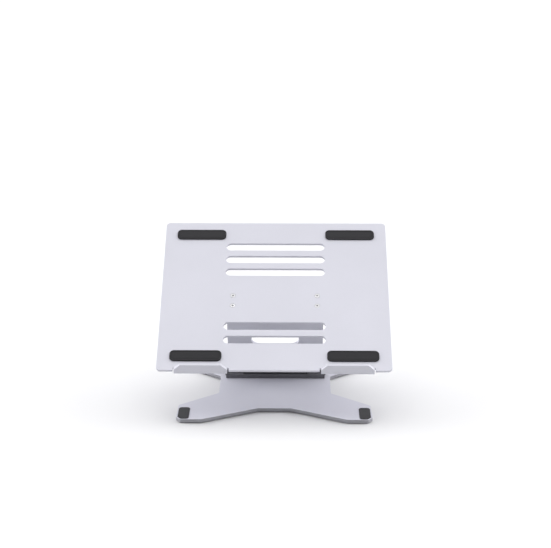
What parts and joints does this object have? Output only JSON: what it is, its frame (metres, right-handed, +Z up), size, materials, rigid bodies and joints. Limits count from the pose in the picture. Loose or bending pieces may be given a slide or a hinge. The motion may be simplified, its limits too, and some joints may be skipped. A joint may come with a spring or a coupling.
{
  "type": "laptop stand",
  "caption": "Folding desktop laptop stand: X-shaped aluminium base, one wide arm on friction hinges and a tilting vented tray with two front hooks.",
  "frame": {"origin": "on the desk, at the centre of the stand's footprint in the pictured position", "axes": "+Z up, -Y towards the user, +X to the user's right"},
  "size_m": [0.262, 0.2268, 0.1796],
  "materials": {
    "silver_aluminium": "bead-blasted, silver anodised, satin, with a faint cool tint",
    "hinge_grey": "bead-blasted, dark grey anodised, satin",
    "steel": "turned and zinc plated",
    "silicone": "matt moulded silicone",
    "dark_plastic": "matt moulded plastic",
    "nylon": "smooth black nylon"
  },
  "bodies": {
    "base": {"base_hinge_bracket": "hinge_grey", "base_hinge_disc_spring": "steel", "base_hinge_end_cap_left": "dark_plastic", "base_hinge_end_cap_right": "dark_plastic", "base_hinge_nut": "steel", "base_hinge_pin": "steel", "base_plate": "silver_aluminium", "base_screw_left_front": "steel", "base_screw_left_rear": "steel", "base_screw_right_front": "steel", "base_screw_right_rear": "steel", "base_top_pad_left": "silicone", "base_top_pad_right": "silicone", "foot_front_left": "silicone", "foot_front_right": "silicone", "foot_rear_left": "silicone", "foot_rear_right": "silicone"},
    "arm": {"arm": "silver_aluminium", "base_hinge_barrel": "hinge_grey", "base_hinge_friction_washer_left": "nylon", "base_hinge_friction_washer_right": "nylon", "tray_hinge_barrel": "hinge_grey"},
    "tray_spindle": {"tray_hinge_disc_spring": "steel", "tray_hinge_friction_washer_left": "nylon", "tray_hinge_friction_washer_right": "nylon", "tray_hinge_nut": "steel", "tray_hinge_pin": "steel"},
    "tray": {"hook_pad_left": "silicone", "hook_pad_right": "silicone", "tray": "silver_aluminium", "tray_hinge_bracket": "hinge_grey", "tray_hinge_end_cap_left": "dark_plastic", "tray_hinge_end_cap_right": "dark_plastic", "tray_pad_front_left": "silicone", "tray_pad_front_right": "silicone", "tray_pad_rear_left": "silicone", "tray_pad_rear_right": "silicone", "tray_screw_left_front": "steel", "tray_screw_left_rear": "steel", "tray_screw_right_front": "steel", "tray_screw_right_rear": "steel"}
  },
  "joints": [
    {"name": "arm_fold", "type": "hinge", "parent": "base", "child": "arm", "pos_m": [0, 0.03583, 0.0132], "axis": [1, 0, 0], "range_deg": [-26, 63]},
    {"name": "tray_follow", "type": "hinge", "parent": "arm", "child": "tray_spindle", "pos_m": [0, -0.00943, 0.1057], "axis": [1, 0, 0], "range_deg": [-90, 37]},
    {"name": "tray_tilt", "type": "hinge", "parent": "tray_spindle", "child": "tray", "pos_m": [0, -0.00943, 0.1057], "axis": [1, 0, 0], "range_deg": [-5, 7]}
  ],
  "couplings": [
    {"joint": "tray_follow", "follows": "arm_fold", "ratio": -1.42}
  ]
}
